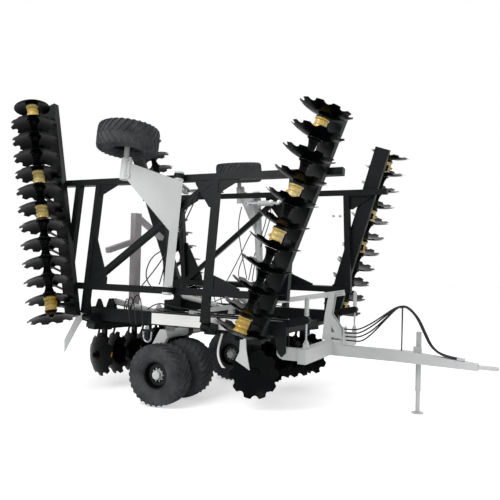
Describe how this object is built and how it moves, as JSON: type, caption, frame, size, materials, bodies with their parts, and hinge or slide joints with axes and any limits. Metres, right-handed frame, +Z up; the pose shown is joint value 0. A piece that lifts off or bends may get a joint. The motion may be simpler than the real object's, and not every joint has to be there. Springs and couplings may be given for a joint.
{
  "type": "towed folding disc harrow",
  "caption": "Towed disc harrow folded for transport: flat frame on paired wheels, upright wings with notched disc gangs and support wheels, a mast, and a drawbar on its jack.",
  "frame": {"origin": "on the ground below the middle of the machine's outer box", "axes": "+X forward to the hitch, +Y to the machine's left, +Z up"},
  "size_m": [7.3746, 4.8088, 4.7775],
  "materials": {
    "charcoal_paint": "satin",
    "light_grey_paint": "satin",
    "disc_steel": "satin",
    "bearing_yellow": "satin",
    "tyre_rubber": "matte",
    "black_wheel": "gloss",
    "rod_chrome": "polished",
    "hose_rubber": "matte",
    "coupler_steel": "brushed"
  },
  "bodies": {
    "frame": {"main_frame": "charcoal_paint", "centre_rails": "charcoal_paint", "fold_brackets": "charcoal_paint", "rear_mast": "light_grey_paint", "centre_gang_beams": "charcoal_paint", "centre_hangers": "charcoal_paint", "centre_bearings": "bearing_yellow", "centre_scrapers": "charcoal_paint"},
    "rockshaft": {"rockshaft": "light_grey_paint"},
    "tongue": {"tongue": "light_grey_paint", "hose_stand": "charcoal_paint", "hose_1": "hose_rubber", "hose_2": "hose_rubber", "hose_3": "hose_rubber", "hose_4": "hose_rubber", "hose_couplers": "coupler_steel"},
    "levelling_link": {"levelling_link": "light_grey_paint"},
    "jack": {"jack": "light_grey_paint"},
    "left_wing": {"left_wing_frame": "charcoal_paint", "left_gang_beams": "charcoal_paint", "left_wing_hangers": "charcoal_paint", "left_wing_bearings": "bearing_yellow", "left_wing_scrapers": "charcoal_paint"},
    "left_front_rotor": {"left_front_gang": "disc_steel"},
    "left_rear_rotor": {"left_rear_gang": "disc_steel"},
    "left_centre_front_rotor": {"left_centre_front_gang": "disc_steel"},
    "left_centre_rear_rotor": {"left_centre_rear_gang": "disc_steel"},
    "left_wheel_arm": {"left_wheel_arm": "light_grey_paint"},
    "left_wing_wheel": {"left_wing_tyre": "tyre_rubber", "left_wing_rim": "black_wheel"},
    "left_transport_wheels": {"left_transport_tyres": "tyre_rubber", "left_transport_rims": "black_wheel"},
    "left_levelling_rod": {"left_levelling_rod": "rod_chrome"},
    "left_fold_barrel": {"left_fold_barrel": "light_grey_paint"},
    "left_fold_rod": {"left_fold_rod": "rod_chrome"},
    "left_lift_barrel": {"left_lift_barrel": "light_grey_paint"},
    "left_lift_rod": {"left_lift_rod": "rod_chrome"},
    "left_wing_lift_barrel": {"left_wing_lift_barrel": "light_grey_paint"},
    "left_wing_lift_rod": {"left_wing_lift_rod": "rod_chrome"},
    "right_wing": {"right_wing_frame": "charcoal_paint", "right_gang_beams": "charcoal_paint", "right_wing_hangers": "charcoal_paint", "right_wing_bearings": "bearing_yellow", "right_wing_scrapers": "charcoal_paint"},
    "right_front_rotor": {"right_front_gang": "disc_steel"},
    "right_rear_rotor": {"right_rear_gang": "disc_steel"},
    "right_centre_front_rotor": {"right_centre_front_gang": "disc_steel"},
    "right_centre_rear_rotor": {"right_centre_rear_gang": "disc_steel"},
    "right_wheel_arm": {"right_wheel_arm": "light_grey_paint"},
    "right_wing_wheel": {"right_wing_tyre": "tyre_rubber", "right_wing_rim": "black_wheel"},
    "right_transport_wheels": {"right_transport_tyres": "tyre_rubber", "right_transport_rims": "black_wheel"},
    "right_levelling_rod": {"right_levelling_rod": "rod_chrome"},
    "right_fold_barrel": {"right_fold_barrel": "light_grey_paint"},
    "right_fold_rod": {"right_fold_rod": "rod_chrome"},
    "right_lift_barrel": {"right_lift_barrel": "light_grey_paint"},
    "right_lift_rod": {"right_lift_rod": "rod_chrome"},
    "right_wing_lift_barrel": {"right_wing_lift_barrel": "light_grey_paint"},
    "right_wing_lift_rod": {"right_wing_lift_rod": "rod_chrome"}
  },
  "joints": [
    {"name": "transport_lift", "type": "hinge", "parent": "frame", "child": "rockshaft", "pos_m": [-0.977, 0, 0.99], "axis": [0, -1, 0], "range_deg": [0, 45]},
    {"name": "tongue_pitch", "type": "hinge", "parent": "frame", "child": "tongue", "pos_m": [1.006, 0, 0.899], "axis": [0, -1, 0], "range_deg": [0, 12.54]},
    {"name": "link_swing", "type": "hinge", "parent": "tongue", "child": "levelling_link", "pos_m": [1.313, 0, 1.67], "axis": [0, 1, 0], "range_deg": [0, 6]},
    {"name": "jack_stow", "type": "hinge", "parent": "tongue", "child": "jack", "pos_m": [2.593, 0, 0.93], "axis": [0, 1, 0], "range_deg": [0, 90]},
    {"name": "left_wing_fold", "type": "hinge", "parent": "frame", "child": "left_wing", "pos_m": [-0.807, 1.394, 1.2], "axis": [-1, 0, 0], "range_deg": [0, 97.6]},
    {"name": "left_front_gang_turn", "type": "hinge", "parent": "left_wing", "child": "left_front_rotor", "pos_m": [0.789, 2.0496, 1.20878], "axis": [0.314, -0.1256, 0.9411], "continuous": true},
    {"name": "left_rear_gang_turn", "type": "hinge", "parent": "left_wing", "child": "left_rear_rotor", "pos_m": [-2.41, 2.03968, 1.28313], "axis": [-0.289, -0.1266, 0.9489], "continuous": true},
    {"name": "left_centre_front_gang_turn", "type": "hinge", "parent": "frame", "child": "left_centre_front_rotor", "pos_m": [0.257, 0.193, 0.549], "axis": [0.314, 0.9494, 0], "continuous": true},
    {"name": "left_centre_rear_gang_turn", "type": "hinge", "parent": "frame", "child": "left_centre_rear_rotor", "pos_m": [-2.067, 0.265, 0.549], "axis": [-0.289, 0.9573, 0], "continuous": true},
    {"name": "left_wing_wheel_lift", "type": "hinge", "parent": "left_wing", "child": "left_wheel_arm", "pos_m": [-0.667, 1.42024, 2.53823], "axis": [0, -0.1323, 0.9912], "range_deg": [0, 24.5]},
    {"name": "left_wing_wheel_turn", "type": "hinge", "parent": "left_wheel_arm", "child": "left_wing_wheel", "pos_m": [-1.286, 1.74174, 3.88659], "axis": [0, -0.1323, 0.9912], "continuous": true},
    {"name": "left_transport_wheels_turn", "type": "hinge", "parent": "rockshaft", "child": "left_transport_wheels", "pos_m": [-0.807, 1.13, 0.455], "axis": [0, 1, 0], "continuous": true},
    {"name": "left_levelling_rod_swing", "type": "hinge", "parent": "tongue", "child": "left_levelling_rod", "pos_m": [1.338, 1.12, 1.019], "axis": [0, 1, 0], "range_deg": [0, 19.54]},
    {"name": "left_fold_barrel_swing", "type": "hinge", "parent": "frame", "child": "left_fold_barrel", "pos_m": [-0.007, 0.15, 1.45], "axis": [-1, 0, 0], "range_deg": [0, 22.52]},
    {"name": "left_fold_rod_slide", "type": "slide", "parent": "left_fold_barrel", "child": "left_fold_rod", "axis": [0, 0.9378, 0.347], "range_m": [0, 0.83972]},
    {"name": "left_lift_barrel_swing", "type": "hinge", "parent": "frame", "child": "left_lift_barrel", "pos_m": [-2.117, 0.985, 1.44], "axis": [0, 1, 0], "range_deg": [0, 5.26]},
    {"name": "left_lift_rod_slide", "type": "slide", "parent": "left_lift_barrel", "child": "left_lift_rod", "axis": [-0.9868, 0, 0.1616], "range_m": [0, 0.17297]},
    {"name": "left_wing_lift_barrel_swing", "type": "hinge", "parent": "left_wing", "child": "left_wing_lift_barrel", "pos_m": [-0.107, 1.0299, 3.19537], "axis": [0, 0.1323, -0.9912], "range_deg": [0, 0.7475]},
    {"name": "left_wing_lift_rod_slide", "type": "slide", "parent": "left_wing_lift_barrel", "child": "left_wing_lift_rod", "axis": [1, 0, 0], "range_m": [0, 0.12887]},
    {"name": "right_wing_fold", "type": "hinge", "parent": "frame", "child": "right_wing", "pos_m": [-0.807, -1.394, 1.2], "axis": [1, 0, 0], "range_deg": [0, 97.6]},
    {"name": "right_front_gang_turn", "type": "hinge", "parent": "right_wing", "child": "right_front_rotor", "pos_m": [0.789, -2.0496, 1.20878], "axis": [0.314, 0.1256, 0.9411], "continuous": true},
    {"name": "right_rear_gang_turn", "type": "hinge", "parent": "right_wing", "child": "right_rear_rotor", "pos_m": [-2.41, -2.03968, 1.28313], "axis": [-0.289, 0.1266, 0.9489], "continuous": true},
    {"name": "right_centre_front_gang_turn", "type": "hinge", "parent": "frame", "child": "right_centre_front_rotor", "pos_m": [0.257, -0.193, 0.549], "axis": [0.314, -0.9494, 0], "continuous": true},
    {"name": "right_centre_rear_gang_turn", "type": "hinge", "parent": "frame", "child": "right_centre_rear_rotor", "pos_m": [-2.067, -0.265, 0.549], "axis": [-0.289, -0.9573, 0], "continuous": true},
    {"name": "right_wing_wheel_lift", "type": "hinge", "parent": "right_wing", "child": "right_wheel_arm", "pos_m": [-0.667, -1.42024, 2.53823], "axis": [0, -0.1323, -0.9912], "range_deg": [0, 24.5]},
    {"name": "right_wing_wheel_turn", "type": "hinge", "parent": "right_wheel_arm", "child": "right_wing_wheel", "pos_m": [-1.286, -1.74174, 3.88659], "axis": [0, -0.1323, -0.9912], "continuous": true},
    {"name": "right_transport_wheels_turn", "type": "hinge", "parent": "rockshaft", "child": "right_transport_wheels", "pos_m": [-0.807, -1.13, 0.455], "axis": [0, 1, 0], "continuous": true},
    {"name": "right_levelling_rod_swing", "type": "hinge", "parent": "tongue", "child": "right_levelling_rod", "pos_m": [1.338, -1.12, 1.019], "axis": [0, 1, 0], "range_deg": [0, 19.54]},
    {"name": "right_fold_barrel_swing", "type": "hinge", "parent": "frame", "child": "right_fold_barrel", "pos_m": [-0.007, -0.15, 1.45], "axis": [1, 0, 0], "range_deg": [0, 22.52]},
    {"name": "right_fold_rod_slide", "type": "slide", "parent": "right_fold_barrel", "child": "right_fold_rod", "axis": [0, -0.9378, 0.347], "range_m": [0, 0.83972]},
    {"name": "right_lift_barrel_swing", "type": "hinge", "parent": "frame", "child": "right_lift_barrel", "pos_m": [-2.117, -0.985, 1.44], "axis": [0, 1, 0], "range_deg": [0, 5.26]},
    {"name": "right_lift_rod_slide", "type": "slide", "parent": "right_lift_barrel", "child": "right_lift_rod", "axis": [-0.9868, 0, 0.1616], "range_m": [0, 0.17297]},
    {"name": "right_wing_lift_barrel_swing", "type": "hinge", "parent": "right_wing", "child": "right_wing_lift_barrel", "pos_m": [-0.107, -1.0299, 3.19537], "axis": [0, 0.1323, 0.9912], "range_deg": [0, 0.7475]},
    {"name": "right_wing_lift_rod_slide", "type": "slide", "parent": "right_wing_lift_barrel", "child": "right_wing_lift_rod", "axis": [1, 0, 0], "range_m": [0, 0.12887]}
  ],
  "couplings": [
    {"joint": "tongue_pitch", "follows": "transport_lift", "ratio": 0.27872},
    {"joint": "link_swing", "follows": "transport_lift", "ratio": 0.13343},
    {"joint": "left_levelling_rod_swing", "follows": "transport_lift", "ratio": 0.43427},
    {"joint": "left_fold_barrel_swing", "follows": "left_wing_fold", "ratio": 0.23076},
    {"joint": "left_fold_rod_slide", "follows": "left_wing_fold", "m_per_rad": 0.49295},
    {"joint": "left_lift_barrel_swing", "follows": "transport_lift", "ratio": 0.11683},
    {"joint": "left_lift_rod_slide", "follows": "transport_lift", "m_per_rad": 0.22023},
    {"joint": "left_wing_lift_barrel_swing", "follows": "left_wing_wheel_lift", "ratio": 0.030511},
    {"joint": "left_wing_lift_rod_slide", "follows": "left_wing_wheel_lift", "m_per_rad": 0.30137},
    {"joint": "right_levelling_rod_swing", "follows": "transport_lift", "ratio": 0.43427},
    {"joint": "right_fold_barrel_swing", "follows": "right_wing_fold", "ratio": 0.23076},
    {"joint": "right_fold_rod_slide", "follows": "right_wing_fold", "m_per_rad": 0.49295},
    {"joint": "right_lift_barrel_swing", "follows": "transport_lift", "ratio": 0.11683},
    {"joint": "right_lift_rod_slide", "follows": "transport_lift", "m_per_rad": 0.22023},
    {"joint": "right_wing_lift_barrel_swing", "follows": "right_wing_wheel_lift", "ratio": 0.030511},
    {"joint": "right_wing_lift_rod_slide", "follows": "right_wing_wheel_lift", "m_per_rad": 0.30137}
  ]
}
